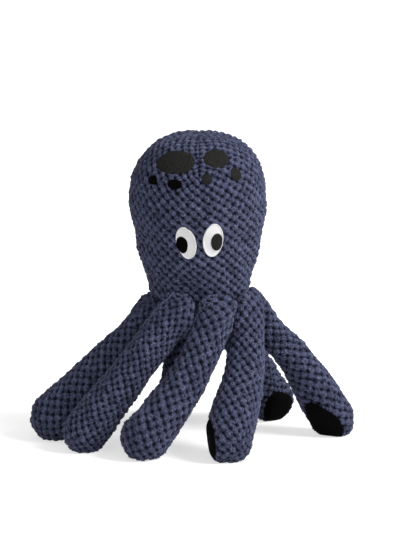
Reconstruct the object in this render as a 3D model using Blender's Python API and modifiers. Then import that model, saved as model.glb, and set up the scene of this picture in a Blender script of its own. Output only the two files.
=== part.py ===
"""A plush octopus standing on its eight legs: a stuffed head on a ring of stuffed legs with dark soles.

Metres, +Z up, on the floor at z = 0. The face looks along -Y, and the legs are numbered clockwise as
seen from above, from the one at the left of the face.
"""

import math

import bmesh
import bpy
from mathutils import Matrix, Vector

# Cloth, and the clearance that every two neighbouring pieces keep
SKIN = 0.0020
FELT = 0.0008
SEAM_GAP = 0.0003
CUT_OVERRUN = 0.0300

# Head: a turned form with a full crown, drawn in to the neck and rolled under to a flat base
BASE_HEIGHT = 0.1260
HEAD_HEIGHT = 0.1400
HEAD_RADIUS = 0.0575
CROWN_HEIGHT = 0.0570
NECK_RADIUS = 0.0420
NECK_ROLL = 0.0065
BASE_PANEL_RADIUS = 0.0320
CROWN_POWER = 2.35
FLANK_POWER = 1.5
CROWN_STEPS = 7
FLANK_STEPS = 5
ROLL_STEPS = 2
HEAD_FACETS = 40

# Leg: a tube that swells from its sewn root to a round foot, with a slanted oval sole
LEG_COUNT = 8
ROOT_RADIUS = 0.0138
FOOT_RADIUS = 0.0200
SWELL_POWER = 2.4
ROOT_SPACING = 0.0023
ROOT_SEATING = 0.0005
FOOT_SQUASH = 0.0005
SOLE_DEPTH = 0.0065
SOLE_THICKNESS = 0.0030
SOLE_TILT = math.radians(72)
STANCE_RADIUS = 0.1050
FIRST_ROOT_ANGLE = math.radians(192)
LEG_FACETS = 12
LEG_STEPS = 7
END_STEPS = 3

# How each leg lies: the way to its foot in degrees round the head, the foot's distance as a share of
# the stance, how steeply the leg leaves its root in degrees, how far the first stretch holds that
# slope as a share of the way to the foot, the turn of its sole to the right in degrees, and the
# foot's size as a share of the foot radius.
LEG_LIE_SHARES = [
    (178.0, 1.155, 62.0, 0.17, 60.0, 1.055),
    (140.5, 1.02, 52.0, 0.40, 45.0, 1.0),
    (102.4, 0.84, 68.0, 0.40, 30.0, 0.9),
    (51.0, 0.94, 67.0, 0.37, 50.0, 0.91),
    (8.0, 1.087, 44.0, 0.54, 40.0, 0.89),
    (-73.4, 0.80, 58.5, 0.31, 95.0, 0.99),
    (-121.8, 0.815, 66.5, 0.28, 65.0, 0.975),
    (-156.1, 1.0, 38.0, 0.17, 60.0, 0.94),
]

# Eyes and spots: ovals of felt and stitching. Each lies so many degrees to the right of the face and
# at a share of the head's height, has a width and a height as shares of its kind's size, and leans
# so many degrees to the right.
EYE_SIZE = 0.0298
PUPIL_SIZE = 0.0158
SPOT_SIZE = 0.0355
EYE_SHARES = {
    "left": (-11.4, 0.407, 0.57, 0.98, -12.0),
    "right": (12.8, 0.423, 0.58, 1.00, 3.0),
}
PUPIL_SHARES = {
    "left": (-15.2, 0.390, 0.61, 0.98, -10.0),
    "right": (15.7, 0.411, 0.62, 0.98, 0.0),
}
SPOT_SHARES = {
    "spot_crown_left": (-26.4, 0.887, 0.99, 0.66, 0.0),
    "spot_crown_right": (19.6, 0.906, 0.64, 0.54, -8.0),
    "spot_side_left": (-46.8, 0.771, 0.29, 0.23, 0.0),
    "spot_brow_left": (-21.8, 0.760, 0.37, 0.25, 0.0),
    "spot_brow_right": (7.1, 0.797, 0.25, 0.28, -30.0),
    "spot_side_right": (36.4, 0.811, 0.30, 0.33, -20.0),
}

COLOURS = {
    "knit": ((0.075, 0.085, 0.165, 1.0), 0.95),
    "fill": ((0.80, 0.80, 0.78, 1.0), 1.0),
    "black_fleece": ((0.006, 0.006, 0.007, 1.0), 0.95),
    "white_thread": ((0.82, 0.81, 0.84, 1.0), 0.8),
    "black_thread": ((0.010, 0.010, 0.011, 1.0), 0.8),
}


def material(name):
    colour, roughness = COLOURS[name]
    made = bpy.data.materials.get(name)
    if made is None:
        made = bpy.data.materials.new(name)
        made.use_nodes = True
        shader = made.node_tree.nodes["Principled BSDF"]
        shader.inputs["Base Color"].default_value = colour
        shader.inputs["Roughness"].default_value = roughness
        shader.inputs["Metallic"].default_value = 0.0
        made.diffuse_color = colour
    return made


def new_object(name, mesh, finish, parent):
    """An object in the octopus's collection or, with no finish, a cutter that doesn't show."""
    made = bpy.data.objects.new(name, mesh)
    made.parent = parent
    if finish is None:
        made.hide_render = True
        made.display_type = "WIRE"
        cutters.objects.link(made)
    else:
        mesh.materials.append(material(finish))
        octopus.objects.link(made)
    return made


def combine(target, operation, cutter):
    step = target.modifiers.new(cutter.name, "BOOLEAN")
    step.operation = operation
    step.solver = "EXACT"
    step.object = cutter
    return target


# Outlines of the turned head


def head_outline():
    """The head's half outline, from the crown down its side to the middle of its base."""
    widest = HEAD_HEIGHT - CROWN_HEIGHT
    outline = []
    for step in range(CROWN_STEPS + 1):
        angle = step / CROWN_STEPS * math.pi / 2
        across = math.sin(angle) ** (2 / CROWN_POWER)
        up = max(math.cos(angle), 0.0) ** (2 / CROWN_POWER)
        outline.append((HEAD_RADIUS * across, widest + CROWN_HEIGHT * up))
    for step in range(1, FLANK_STEPS + 1):
        share = step / FLANK_STEPS
        drawn_in = (HEAD_RADIUS - NECK_RADIUS) * share**FLANK_POWER
        outline.append((HEAD_RADIUS - drawn_in, widest - share * (widest - NECK_ROLL)))
    for step in range(1, ROLL_STEPS + 1):
        angle = step / ROLL_STEPS * math.pi / 2
        roll_centre = NECK_RADIUS - NECK_ROLL
        outline.append((roll_centre + NECK_ROLL * math.cos(angle), NECK_ROLL * (1 - math.sin(angle))))
    outline.append((0.0, 0.0))
    return [Vector(point) for point in outline]


def offset_outline(outline, distance):
    """The outline moved outwards by a distance, its ends kept on the axis."""
    normals = []
    for start, end in zip(outline, outline[1:]):
        along = (end - start).normalized()
        normals.append(Vector((-along.y, along.x)))
    moved = [Vector((0.0, outline[0].y + distance / normals[0].y))]
    for point, before, after in zip(outline[1:-1], normals, normals[1:]):
        moved.append(point + (before + after) * distance / (1 + before.dot(after)))
    moved.append(Vector((0.0, outline[-1].y + distance / normals[-1].y)))
    return moved


def turned(name, outline, finish, parent):
    """A solid of revolution about the parent's Z axis."""
    mesh = bpy.data.meshes.new(name)
    points = [(radius, 0.0, height) for radius, height in outline]
    mesh.from_pydata(points, [(i, i + 1) for i in range(len(points) - 1)], [])
    made = new_object(name, mesh, finish, parent)
    screw = made.modifiers.new("turn", "SCREW")
    screw.steps = HEAD_FACETS
    screw.render_steps = HEAD_FACETS
    screw.use_merge_vertices = True
    screw.merge_threshold = 0.00001
    return made


def point_on_head(right_of_face, height_share):
    """A point on the head's side and the outward normal there, in the head's own frame."""
    outline = head_outline()
    height = height_share * HEAD_HEIGHT
    for upper, lower in zip(outline, outline[1:]):
        if lower.y <= height <= upper.y:
            share = (upper.y - height) / (upper.y - lower.y)
            radius = upper.x + share * (lower.x - upper.x)
            along = (lower - upper).normalized()
            break
    turn = Matrix.Rotation(math.radians(right_of_face), 3, "Z")
    point = turn @ Vector((0.0, -radius, height))
    normal = turn @ Vector((0.0, along.y, along.x))
    return point, normal


def oval_cutter(name, place, size, parent):
    """An oval bar through the head's skin, square to it at the middle of an eye or a spot."""
    right_of_face, height_share, width_share, tall_share, lean = place
    point, normal = point_on_head(right_of_face, height_share)
    mesh = bpy.data.meshes.new(name)
    shape = bmesh.new()
    bmesh.ops.create_cone(
        shape, cap_ends=True, segments=20, radius1=0.5, radius2=0.5, depth=2 * CUT_OVERRUN
    )
    bmesh.ops.scale(shape, vec=(size * width_share, size * tall_share, 1.0), verts=shape.verts)
    shape.to_mesh(mesh)
    shape.free()
    right = Vector((0.0, 0.0, 1.0)).cross(normal).normalized()
    up = normal.cross(right)
    turn = Matrix.Rotation(math.radians(-lean), 3, normal)
    axes = Matrix((turn @ right, turn @ up, normal)).transposed()
    made = new_object(name, mesh, None, parent)
    made.matrix_local = Matrix.Translation(point) @ axes.to_4x4()
    return made


def patch(name, place, size, lift, finish, parent):
    """A thin oval of stitching that follows the head's surface, held above it by the lift."""
    outline = head_outline()
    made = turned(name, offset_outline(outline, lift + FELT), finish, parent)
    under = turned(name + "_under", offset_outline(outline, lift), None, parent)
    combine(made, "INTERSECT", oval_cutter(name + "_oval", place, size, parent))
    combine(made, "DIFFERENCE", under)
    return made


def build_head():
    head = bpy.data.objects.new("head_frame", None)
    head.location = (0.0, 0.0, BASE_HEIGHT)
    head.parent = assembly
    octopus.objects.link(head)

    outline = head_outline()
    cavity = turned("head_cavity", offset_outline(outline, -SKIN), None, head)
    turned("head_stuffing", offset_outline(outline, -SKIN - SEAM_GAP), "fill", head)

    base_plugs = []
    for name, radius in (("base_inside", BASE_PANEL_RADIUS), ("base_outside", BASE_PANEL_RADIUS + SEAM_GAP)):
        mesh = bpy.data.meshes.new(name)
        shape = bmesh.new()
        bmesh.ops.create_cone(
            shape, cap_ends=True, segments=HEAD_FACETS, radius1=radius, radius2=radius, depth=CUT_OVERRUN
        )
        shape.to_mesh(mesh)
        shape.free()
        base_plugs.append(new_object(name, mesh, None, head))
    base_panel = turned("base_panel", outline, "knit", head)
    combine(base_panel, "DIFFERENCE", cavity)
    combine(base_panel, "INTERSECT", base_plugs[0])

    half = HEAD_HEIGHT + CUT_OVERRUN
    for name, depth in (("head_front_panel", -1), ("head_back_panel", 1)):
        mesh = bpy.data.meshes.new(name + "_half")
        shape = bmesh.new()
        bmesh.ops.create_cube(shape, size=half)
        shape.to_mesh(mesh)
        shape.free()
        cutter = new_object(name + "_half", mesh, None, head)
        cutter.location = (0.0, depth * (half + SEAM_GAP) / 2, HEAD_HEIGHT / 2)
        panel = turned(name, outline, "knit", head)
        combine(panel, "DIFFERENCE", cavity)
        combine(panel, "INTERSECT", cutter)
        combine(panel, "DIFFERENCE", base_plugs[1])

    for side, place in EYE_SHARES.items():
        patch(side + "_eye_white", place, EYE_SIZE, SEAM_GAP, "white_thread", head)
    for side, place in PUPIL_SHARES.items():
        patch(side + "_pupil", place, PUPIL_SIZE, FELT + 2 * SEAM_GAP, "black_thread", head)
    for name, place in SPOT_SHARES.items():
        patch(name, place, SPOT_SIZE, SEAM_GAP, "black_thread", head)


# Legs


def ring_radius():
    """Radius of the ring of roots: as wide as the roots need to lie side by side."""
    return (ROOT_RADIUS + ROOT_SPACING) / math.sin(math.pi / LEG_COUNT)


def root_height():
    """Height of a root's middle, where its faceted round end just clears the head's rolled edge."""
    out = ring_radius() - (NECK_RADIUS - NECK_ROLL)
    reach = NECK_ROLL + SEAM_GAP + ROOT_RADIUS
    return BASE_HEIGHT + NECK_ROLL - math.sqrt(reach**2 - out**2) + ROOT_SEATING


class LegPath:
    """The middle line of one leg, from its sewn root to the middle of its round foot."""

    def __init__(self, number):
        foot_angle, stance_share, slope, hold, turn, foot_share = LEG_LIE_SHARES[number]
        root_angle = FIRST_ROOT_ANGLE - number * 2 * math.pi / LEG_COUNT
        self.outward = Vector((math.cos(root_angle), math.sin(root_angle), 0.0))
        self.root = self.outward * ring_radius() + Vector((0.0, 0.0, root_height()))
        self.foot_radius = FOOT_RADIUS * foot_share
        foot_angle = math.radians(foot_angle)
        stance = STANCE_RADIUS * stance_share
        self.foot = Vector((stance * math.cos(foot_angle), stance * math.sin(foot_angle), self.foot_radius))
        slope = math.radians(slope)
        leaving = self.outward * math.cos(slope) - Vector((0.0, 0.0, math.sin(slope)))
        self.bend = self.root + leaving * hold * (self.foot - self.root).length
        self.turn = math.radians(turn)
        self.foot.z -= self.lowest() + FOOT_SQUASH

    def radius(self, share):
        """Radius along the leg, which stays slim from its root and swells out into its foot."""
        return ROOT_RADIUS + (self.foot_radius - ROOT_RADIUS) * share**SWELL_POWER

    def frame(self, share):
        """Point, direction towards the foot, and the way that the leg's upper side faces."""
        back = 1 - share
        point = back**2 * self.root + 2 * back * share * self.bend + share**2 * self.foot
        along = (back * (self.bend - self.root) + share * (self.foot - self.bend)).normalized()
        right = along.cross(Vector((0.0, 0.0, 1.0))).normalized()
        return point, along, right.cross(along)

    def sole_plane(self):
        """A point on the plane of the sole's seam and the plane's outward normal."""
        point, along, upper = self.frame(1.0)
        under = Matrix.Rotation(-self.turn, 3, along) @ -upper
        normal = along * math.cos(SOLE_TILT) + under * math.sin(SOLE_TILT)
        return point + normal * (self.foot_radius - SOLE_DEPTH), normal

    def sections(self, inset):
        """Middle, direction, upper side and radius of each ring from root to toe."""
        rings = []
        point, along, upper = self.frame(0.0)
        radius = ROOT_RADIUS - inset
        for step in range(END_STEPS):
            angle = (step + 0.5) / END_STEPS * math.pi / 2
            rings.append((point - along * radius * math.cos(angle), along, upper, radius * math.sin(angle)))
        for step in range(LEG_STEPS + 1):
            share = step / LEG_STEPS
            rings.append((*self.frame(share), self.radius(share) - inset))
        point, along, upper = self.frame(1.0)
        radius = self.foot_radius - inset
        for step in reversed(range(END_STEPS)):
            angle = (step + 0.5) / END_STEPS * math.pi / 2
            rings.append((point + along * radius * math.cos(angle), along, upper, radius * math.sin(angle)))
        return rings

    def lowest(self):
        """Height of the lowest corner of the faceted leg, cut off at the outer face of its sole."""
        point, normal = self.sole_plane()
        rings = [full_ring(section) for section in self.sections(0.0)]
        edges = [(ring[i - 1], ring[i]) for ring in rings for i in range(LEG_FACETS)]
        edges += [edge for near, far in zip(rings, rings[1:]) for edge in zip(near, far)]
        heights = []
        for start, end in edges:
            past_start, past_end = ((p - point).dot(normal) - SOLE_THICKNESS for p in (start, end))
            if past_start <= 0:
                heights.append(start.z)
            if past_start * past_end < 0:
                heights.append(start.lerp(end, past_start / (past_start - past_end)).z)
        return min(heights)


def full_ring(section):
    """Points all round a leg's ring."""
    point, along, upper, radius = section
    side = along.cross(upper)
    angles = [2 * math.pi * i / LEG_FACETS for i in range(LEG_FACETS)]
    return [point + radius * (math.cos(a) * upper + math.sin(a) * side) for a in angles]


def half_ring(section, which):
    """Points over one half of a leg's ring, which stops half a seam gap short of the side seams."""
    point, along, upper, radius = section
    side = along.cross(upper)
    half_turn = math.acos(SEAM_GAP / 2 / radius)
    facets = LEG_FACETS // 2
    angles = [half_turn * (2 * i / facets - 1) for i in range(facets + 1)]
    return [point + radius * (which * math.cos(a) * upper + math.sin(a) * side) for a in angles]


def lofted(name, rings, caps, finish, parent):
    """A closed solid through rings of as many points each. A cap is the points that one end face joins."""
    shape = bmesh.new()
    loops = [[shape.verts.new(point) for point in ring] for ring in rings]
    count = len(loops[0])
    for near, far in zip(loops, loops[1:]):
        for i in range(count):
            j = (i + 1) % count
            shape.faces.new((near[i], near[j], far[j], far[i]))
    for loop in (loops[0], loops[-1]):
        for cap in caps:
            shape.faces.new([loop[i] for i in cap])
    bmesh.ops.recalc_face_normals(shape, faces=shape.faces)
    mesh = bpy.data.meshes.new(name)
    shape.to_mesh(mesh)
    shape.free()
    return new_object(name, mesh, finish, parent)


def tube(name, path, inset, finish, parent):
    """The leg's whole round form, its surface moved in by the inset."""
    rings = [full_ring(section) for section in path.sections(inset)]
    return lofted(name, rings, [range(LEG_FACETS)], finish, parent)


def half_shell(name, path, which, parent):
    """The cloth over one half of the leg, closed round the root and round the toe."""
    rings = []
    for outer, inner in zip(path.sections(0.0), path.sections(SKIN)):
        rings.append(half_ring(outer, which) + half_ring(inner, which)[::-1])
    half = len(rings[0]) // 2
    caps = [range(half), range(half, 2 * half), (0, half - 1, half, 2 * half - 1)]
    return lofted(name, rings, caps, "knit", parent)


def slab(name, point, normal, lowest, highest, parent):
    """A wide block between two heights over a plane, with a height of None far beyond the leg."""
    reach = 2 * (FOOT_RADIUS + CUT_OVERRUN)
    highest = reach if highest is None else highest
    mesh = bpy.data.meshes.new(name)
    shape = bmesh.new()
    bmesh.ops.create_cube(shape, size=1.0)
    bmesh.ops.scale(shape, vec=(2 * reach, 2 * reach, highest - lowest), verts=shape.verts)
    shape.to_mesh(mesh)
    shape.free()
    made = new_object(name, mesh, None, parent)
    turn = Vector((0.0, 0.0, 1.0)).rotation_difference(normal).to_matrix().to_4x4()
    made.matrix_local = Matrix.Translation(point + normal * (lowest + highest) / 2) @ turn
    return made


def build_leg(number):
    path = LegPath(number)
    name = f"leg_{number + 1}"
    hinge = bpy.data.objects.new(name + "_hinge", None)
    hinge.location = path.root
    hinge.parent = assembly
    octopus.objects.link(hinge)
    pieces = bpy.data.objects.new(name + "_pieces", None)
    pieces.location = -path.root
    pieces.parent = hinge
    octopus.objects.link(pieces)

    point, normal = path.sole_plane()
    past_seam = slab(name + "_past_seam", point, normal, -SEAM_GAP / 2, None, pieces)
    sole_space = slab(name + "_sole_space", point, normal, SEAM_GAP / 2, SOLE_THICKNESS, pieces)
    under_foot = Vector((path.foot.x, path.foot.y, 0.0))
    floor = slab(name + "_floor", under_foot, Vector((0.0, 0.0, -1.0)), 0.0, None, pieces)

    for side, which in (("upper", 1), ("under", -1)):
        panel = half_shell(f"{name}_{side}_panel", path, which, pieces)
        combine(panel, "DIFFERENCE", past_seam)
        combine(panel, "DIFFERENCE", floor)
    sole = tube(name + "_sole", path, 0.0, "black_fleece", pieces)
    combine(sole, "INTERSECT", sole_space)
    combine(sole, "DIFFERENCE", floor)
    stuffing = tube(name + "_stuffing", path, SKIN + SEAM_GAP, "fill", pieces)
    combine(stuffing, "DIFFERENCE", past_seam)


for old in list(bpy.data.objects):
    bpy.data.objects.remove(old)
octopus = bpy.data.collections.new("plush_octopus")
cutters = bpy.data.collections.new("cutters")
bpy.context.scene.collection.children.link(octopus)
bpy.context.scene.collection.children.link(cutters)
assembly = bpy.data.objects.new("octopus_frame", None)
octopus.objects.link(assembly)

build_head()
for leg_number in range(LEG_COUNT):
    build_leg(leg_number)

# The origin lies on the floor under the middle of the whole outline
bpy.context.view_layer.update()
pieces = [piece for piece in octopus.objects if piece.type == "MESH"]
corners = [piece.matrix_world @ Vector(corner) for piece in pieces for corner in piece.bound_box]
middle = [(min(c[axis] for c in corners) + max(c[axis] for c in corners)) / 2 for axis in range(2)]
assembly.location = (-middle[0], -middle[1], 0.0)
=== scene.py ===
import math

import bmesh
import bpy
import numpy as np
from mathutils import Matrix, Vector
from mathutils.bvhtree import BVHTree


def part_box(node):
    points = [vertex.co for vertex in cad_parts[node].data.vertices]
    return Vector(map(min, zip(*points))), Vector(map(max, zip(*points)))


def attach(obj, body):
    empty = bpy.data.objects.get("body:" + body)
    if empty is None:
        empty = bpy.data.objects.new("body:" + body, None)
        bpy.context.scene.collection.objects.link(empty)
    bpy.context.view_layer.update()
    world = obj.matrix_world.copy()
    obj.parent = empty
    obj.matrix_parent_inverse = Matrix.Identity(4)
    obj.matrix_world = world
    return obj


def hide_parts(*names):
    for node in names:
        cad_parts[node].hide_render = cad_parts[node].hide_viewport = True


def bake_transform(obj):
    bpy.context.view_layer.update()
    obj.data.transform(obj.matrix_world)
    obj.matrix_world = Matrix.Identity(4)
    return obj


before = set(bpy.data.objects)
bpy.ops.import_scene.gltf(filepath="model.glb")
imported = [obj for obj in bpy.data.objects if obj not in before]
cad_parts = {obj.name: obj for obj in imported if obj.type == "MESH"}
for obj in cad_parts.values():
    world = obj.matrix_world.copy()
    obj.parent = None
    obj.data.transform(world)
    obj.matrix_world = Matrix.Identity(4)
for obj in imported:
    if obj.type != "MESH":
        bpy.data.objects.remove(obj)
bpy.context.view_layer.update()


# Head cover
# A front and a back panel of popcorn fleece, sewn together at the sides, each shaped at the crown by
# a dart. The cloth is cut on the bias, so its rows of tufts run slantwise round the stuffed head.

HEAD_LOW, HEAD_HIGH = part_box("head_front_panel")
FILL_LOW, FILL_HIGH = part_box("head_stuffing")
HEAD_AXIS = (FILL_LOW + FILL_HIGH) / 2
HEAD_BASE = HEAD_LOW.z
HEAD_HEIGHT = HEAD_HIGH.z - HEAD_LOW.z
HEAD_RADIUS = 0.0575
CROWN_HEIGHT = 0.0570
CROWN_POWER = 2.35
NECK_RADIUS = 0.0420
NECK_ROLL = 0.0065
FLANK_POWER = 1.5
DART_END = HEAD_BASE + 0.81 * HEAD_HEIGHT
FLAT_BASE = HEAD_BASE + 0.0004
# The stuffing lifts the crown, and fills out the left side round a share of the head's height.
CROWN_RISE = 0.0012
LEFT_FULLNESS = 0.0019
LEFT_SHARE, LEFT_SPREAD_SHARE = 0.64, 0.24

HEAD_FACES_ACROSS = 18
HEAD_FACES_LONGER = 8
ROLL_FACES = 2
COVER_ROUNDING = 3
SAME = 1e-5
TINY = 1e-9

# Tufts stand in rows on the flat cloth, each a little astray, twisted, wider and taller by chance, with
# a hole between every four. The pitch is in metres, and the rest are shares of it or of the height.
TUFT_PITCH = (0.00575, 0.00605)
TUFT_SIZE = (0.66, 0.80)
TUFT_POWER = 2.2
TUFT_DOME_POWER = 0.6
TUFT_STRAY, TUFT_TWIST, TUFT_WIDER, TUFT_TALLER = 0.13, 0.25, 0.16, 0.12
TUFT_CHANCES = 64
HOLE_SIZE = 0.21
HOLE_STRAY = 0.08
HOLE_DEPTH, HOLE_UNEVENNESS = 0.85, 0.15
PILE = 0.0030
PILE_BURIED = 0.66
CLUMP_SHARE = 0.30
CLUMP_RATE = 2300.0
SEAM_WIDTH = 0.0018
SEAM_HOLD = 0.72
HEAD_BIAS = math.radians(50)

HEAD_PRESSURE = 1.5
HEAD_SWELL = 0.0015
STUFFING_FRAMES = 20
SEAM_SHRINK = 0.04
LUMP = 0.0006
LUMP_RATE = 125.0


def select_only(piece):
    bpy.ops.object.select_all(action="DESELECT")
    piece.select_set(True)
    bpy.context.view_layer.objects.active = piece


def square_bar(name, across, longer):
    """A square bar, as many faces across each side, its upper end at z = 1 and so many faces longer."""
    bpy.ops.object.select_all(action="DESELECT")
    bpy.ops.mesh.primitive_cube_add(size=2.0)
    bar = bpy.context.object
    bar.name = name
    bpy.ops.object.mode_set(mode="EDIT")
    bpy.ops.mesh.subdivide(number_cuts=across - 1)
    bpy.ops.mesh.select_mode(type="FACE")
    shape = bmesh.from_edit_mesh(bar.data)
    for face in shape.faces:
        face.select_set(face.calc_center_median().z < -1 + SAME)
    bmesh.update_edit_mesh(bar.data)
    for _ in range(longer):
        bpy.ops.mesh.extrude_region_move(TRANSFORM_OT_translate={"value": (0.0, 0.0, -2 / across)})
    bpy.ops.object.mode_set(mode="OBJECT")
    store(bar, "bar", points_of(bar))
    return bar


def store(piece, name, values):
    """Keeps a number or a place for each vertex, under a name that the materials can read."""
    kind, field = ("FLOAT", "value") if values.ndim == 1 else ("FLOAT_VECTOR", "vector")
    piece.data.attributes.new(name, kind, "POINT")
    piece.data.attributes[name].data.foreach_set(field, np.ascontiguousarray(values, float).ravel())


def bar_of(piece):
    """Each vertex's place on the square bar that the piece was made from."""
    found = np.empty(len(piece.data.vertices) * 3)
    piece.data.attributes["bar"].data.foreach_get("vector", found)
    return found.reshape(-1, 3)


def points_of(piece):
    found = np.empty(len(piece.data.vertices) * 3)
    piece.data.vertices.foreach_get("co", found)
    return found.reshape(-1, 3)


def normals_of(piece):
    found = np.empty(len(piece.data.vertices) * 3)
    piece.data.vertex_normals.foreach_get("vector", found)
    return found.reshape(-1, 3)


def set_points(piece, points):
    piece.data.vertices.foreach_set("co", np.ascontiguousarray(points, float).ravel())
    piece.data.update()


def round_directions(box):
    """Unit directions for places on a unit cube, spread evenly over the ball."""
    spread = np.tan(np.clip(box, -1, 1) * math.pi / 4)
    return spread / np.maximum(np.linalg.norm(spread, axis=1), TINY)[:, None]


def hump(value, middle, spread):
    """1 at the middle, and fading to 0 over the spread to either side of it."""
    return np.exp(-(((value - middle) / spread) ** 2))


def smooth_share(value, low, high):
    """0 up to the low value, 1 from the high one, and smooth between."""
    share = np.clip((value - low) / (high - low), 0, 1)
    return share * share * (3 - 2 * share)


def head_points(bar):
    """Places on the head's smooth surface for places on its bar: crown, flank, rolled rim and base."""
    direction = round_directions(np.c_[bar[:, :2], np.maximum(bar[:, 2], 0.0)])
    around = round_directions(np.c_[bar[:, :2], np.zeros(len(bar))])
    face = 2 / HEAD_FACES_ACROSS
    lowest = bar[:, 2].min()
    roll_top = lowest + ROLL_FACES * face
    widest = HEAD_HEIGHT - CROWN_HEIGHT

    polar = np.arccos(np.clip(direction[:, 2], 0, 1))
    across = np.hypot(direction[:, 0], direction[:, 1])[:, None]
    crown_way = direction[:, :2] / np.maximum(across, TINY)
    crown_radius = HEAD_RADIUS * np.sin(polar) ** (2 / CROWN_POWER)
    crown_height = widest + (CROWN_HEIGHT + CROWN_RISE) * np.cos(polar) ** (2 / CROWN_POWER)

    down = np.clip(bar[:, 2] / roll_top, 0, 1)
    flank_radius = HEAD_RADIUS - (HEAD_RADIUS - NECK_RADIUS) * down**FLANK_POWER
    flank_height = widest - down * (widest - NECK_ROLL)

    angle = np.clip((roll_top - bar[:, 2]) / (roll_top - lowest), 0, 1) * math.pi / 2
    inner = NECK_RADIUS - NECK_ROLL
    rolled = inner + NECK_ROLL * np.cos(angle)
    rolled_height = NECK_ROLL * (1 - np.sin(angle))

    crown, roll = bar[:, 2] > SAME, bar[:, 2] < roll_top
    radius = np.where(crown, crown_radius, np.where(roll, rolled, flank_radius))
    height = np.where(crown, crown_height, np.where(roll, rolled_height, flank_height))
    way = np.where(crown[:, None], crown_way, around[:, :2])
    fuller = hump(height / HEAD_HEIGHT, LEFT_SHARE, LEFT_SPREAD_SHARE)
    radius = radius + LEFT_FULLNESS * fuller * np.maximum(-way[:, 0], 0)
    base = (bar[:, 2] < lowest + SAME) & (np.abs(bar[:, :2]).max(axis=1) < 1 - SAME)
    radius[base] = inner * np.abs(bar[base, :2]).max(axis=1)
    points = np.c_[way * radius[:, None], height + HEAD_BASE]
    return points + np.array((HEAD_AXIS.x, HEAD_AXIS.y, 0.0))


def mark_seams(piece, is_seam):
    """Marks the edges that lie on a seam, and lays the cloth's panels out flat."""
    select_only(piece)
    bpy.ops.object.mode_set(mode="EDIT")
    shape = bmesh.from_edit_mesh(piece.data)
    for edge in shape.edges:
        edge.seam = is_seam(edge)
    for face in shape.faces:
        face.select_set(True)
    bmesh.update_edit_mesh(piece.data)
    bpy.ops.uv.unwrap(method="MINIMUM_STRETCH", margin=0.01)
    bpy.ops.object.mode_set(mode="OBJECT")


def add_subdivision(piece, levels):
    select_only(piece)
    step = piece.modifiers.new("rounding", "SUBSURF")
    step.levels = levels
    step.render_levels = levels
    bpy.ops.object.modifier_apply(modifier=step.name)


def flat_cloth(piece, panel_of_face, grain):
    """Where each vertex lies on its panel's flat cloth, in metres, with the grain value rising along +Y."""
    mesh = piece.data
    corners = np.empty(len(mesh.loops), int)
    mesh.loops.foreach_get("vertex_index", corners)
    laid = np.empty(len(mesh.loops) * 2)
    mesh.uv_layers.active.data.foreach_get("uv", laid)
    laid = laid.reshape(-1, 2)
    areas = np.empty(len(mesh.polygons))
    mesh.polygons.foreach_get("area", areas)
    quads = laid.reshape(-1, 4, 2)
    after = np.roll(quads, -1, axis=1)
    flat_areas = (quads[..., 0] * after[..., 1] - after[..., 0] * quads[..., 1]).sum(axis=1) / 2
    flat = np.zeros((len(mesh.vertices), 2))
    for panel in np.unique(panel_of_face):
        inside = panel_of_face == panel
        scale = math.sqrt(areas[inside].sum() / np.abs(flat_areas[inside]).sum())
        mine = np.repeat(inside, 4)
        places = laid[mine] - laid[mine].mean(axis=0)
        slope = np.linalg.lstsq(places, grain[corners[mine]] - grain[corners[mine]].mean(), rcond=None)[0]
        up = slope / np.linalg.norm(slope)
        right = np.array((up[1], -up[0])) * np.sign(flat_areas[inside].sum())
        flat[corners[mine]] = scale * np.c_[places @ right, places @ up]
    return flat


def tufts(flat, turn, seed, stretch=1.0):
    """Height of the pile, from 0 in the holes to 1 on a tuft, and each tuft's own tone from -1 to 1."""
    chance = np.random.default_rng(seed).uniform(-1, 1, (TUFT_CHANCES, TUFT_CHANCES, 6))
    turned = flat @ np.array(((math.cos(turn), -math.sin(turn)), (math.sin(turn), math.cos(turn))))
    place = turned / (np.array(TUFT_PITCH) * stretch)
    cell = np.round(place).astype(int)
    height, tone = np.zeros(len(flat)), np.zeros(len(flat))
    for step in ((i, j) for i in (-1, 0, 1) for j in (-1, 0, 1)):
        near = cell + np.array(step)
        own = chance[near[:, 0] % TUFT_CHANCES, near[:, 1] % TUFT_CHANCES]
        away = place - near - TUFT_STRAY * own[:, :2]
        away = np.abs(away + TUFT_TWIST * own[:, 5:] * away[:, ::-1]) / np.array(TUFT_SIZE)
        reach = (away**TUFT_POWER).sum(axis=1) / (1 + TUFT_WIDER * own[:, 2])
        dome = np.clip(1 - reach, 0, 1) ** TUFT_DOME_POWER * (1 + TUFT_TALLER * own[:, 3])
        tone = np.where(dome > height, own[:, 4], tone)
        height = np.maximum(dome, height)
    hole = np.floor(place).astype(int)
    own = chance[hole[:, 0] % TUFT_CHANCES, hole[:, 1] % TUFT_CHANCES]
    away = place - hole - 0.5 - HOLE_STRAY * own[:, :2]
    depth = HOLE_DEPTH + HOLE_UNEVENNESS * own[:, 2]
    return height * (1 - depth * np.exp(-(away**2).sum(axis=1) / HOLE_SIZE**2)), tone


def clumps(points):
    """Fine unevenness of the pile, from -1 to 1."""
    x, y, z = (points * CLUMP_RATE).T
    in_x, in_y = np.sin(x + 1.3 * np.sin(y * 0.9)), np.sin(y + 1.7 * np.sin(z * 1.1))
    return in_x * in_y * np.sin(z + 1.5 * np.sin(x))


def pile_lift(height, points):
    """How far the pile lifts the surface, with its fine clumps. Its foot is buried in the stuffed form."""
    return PILE * (height + CLUMP_SHARE * clumps(points) * height - PILE_BURIED)


def new_material(name):
    made = bpy.data.materials.new(name)
    made.use_nodes = True
    return made, made.node_tree.nodes, made.node_tree.links, made.node_tree.nodes["Principled BSDF"]


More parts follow.
